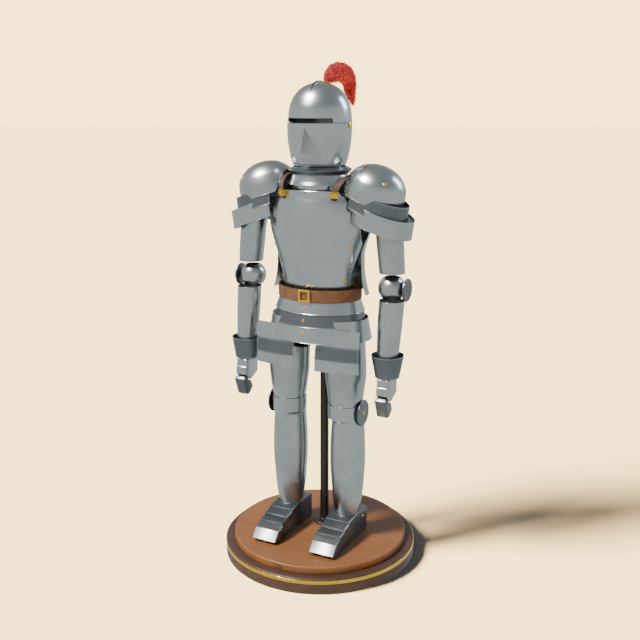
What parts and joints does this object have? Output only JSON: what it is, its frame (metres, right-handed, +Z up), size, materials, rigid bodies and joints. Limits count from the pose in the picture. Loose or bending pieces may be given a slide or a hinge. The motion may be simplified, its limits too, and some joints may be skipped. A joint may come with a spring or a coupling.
{
  "type": "suit of plate armour on a display stand",
  "caption": "Full suit of plate armour with a plumed closed helmet, standing as if worn around a pole on a round wooden display base.",
  "frame": {"origin": "centre of the underside of the round base, on the floor", "axes": "+Z up; -Y is the way the armour faces; +X is the armour's own left side"},
  "size_m": [0.78, 0.78, 1.953],
  "materials": {
    "steel": "polished plate steel",
    "dark_steel": "darker, duller plate steel",
    "brass": "polished brass",
    "leather": "waxed brown leather",
    "plume": "dyed red feathers",
    "pale_wood": "varnished mid-brown wood",
    "dark_wood": "dark stained wood",
    "black_steel": "black painted steel tube"
  },
  "bodies": {
    "root": {"base_plinth": "dark_wood", "base_band": "brass", "base_top": "pale_wood", "pole_flange": "black_steel", "display_pole": "black_steel", "helmet_skull": "steel", "helmet_face_plate": "steel", "helmet_stud_left": "brass", "helmet_stud_right": "brass", "helmet_comb": "dark_steel", "plume": "plume", "plume_socket": "brass", "gorget_collar": "dark_steel", "gorget_plate": "steel", "breastplate": "steel", "backplate": "steel", "shoulder_strap_left": "leather", "shoulder_strap_right": "leather", "shoulder_buckle_left": "brass", "shoulder_buckle_right": "brass", "belt": "leather", "belt_buckle": "brass", "fauld_1": "steel", "fauld_2": "dark_steel", "fauld_3": "steel", "culet_1": "steel", "culet_2": "dark_steel", "culet_3": "steel", "tasset_1_left": "steel", "tasset_1_right": "steel", "tasset_2_left": "dark_steel", "tasset_2_right": "dark_steel", "tasset_3_left": "steel", "tasset_3_right": "steel", "pauldron_left": "steel", "pauldron_right": "steel", "pauldron_lame_1_left": "dark_steel", "pauldron_lame_1_right": "dark_steel", "pauldron_lame_2_left": "steel", "pauldron_lame_2_right": "steel", "rerebrace_left": "steel", "rerebrace_right": "steel", "couter_left": "steel", "couter_right": "steel", "vambrace_left": "steel", "vambrace_right": "steel", "gauntlet_cuff_left": "dark_steel", "gauntlet_cuff_right": "dark_steel", "gauntlet_hand_left": "steel", "gauntlet_hand_right": "steel", "gauntlet_fingers_left": "dark_steel", "gauntlet_fingers_right": "dark_steel", "cuisse_left": "steel", "cuisse_right": "steel", "poleyn_left": "steel", "poleyn_right": "steel", "greave_left": "steel", "greave_right": "steel", "sabaton_left": "dark_steel", "sabaton_right": "dark_steel"}
  },
  "joints": []
}
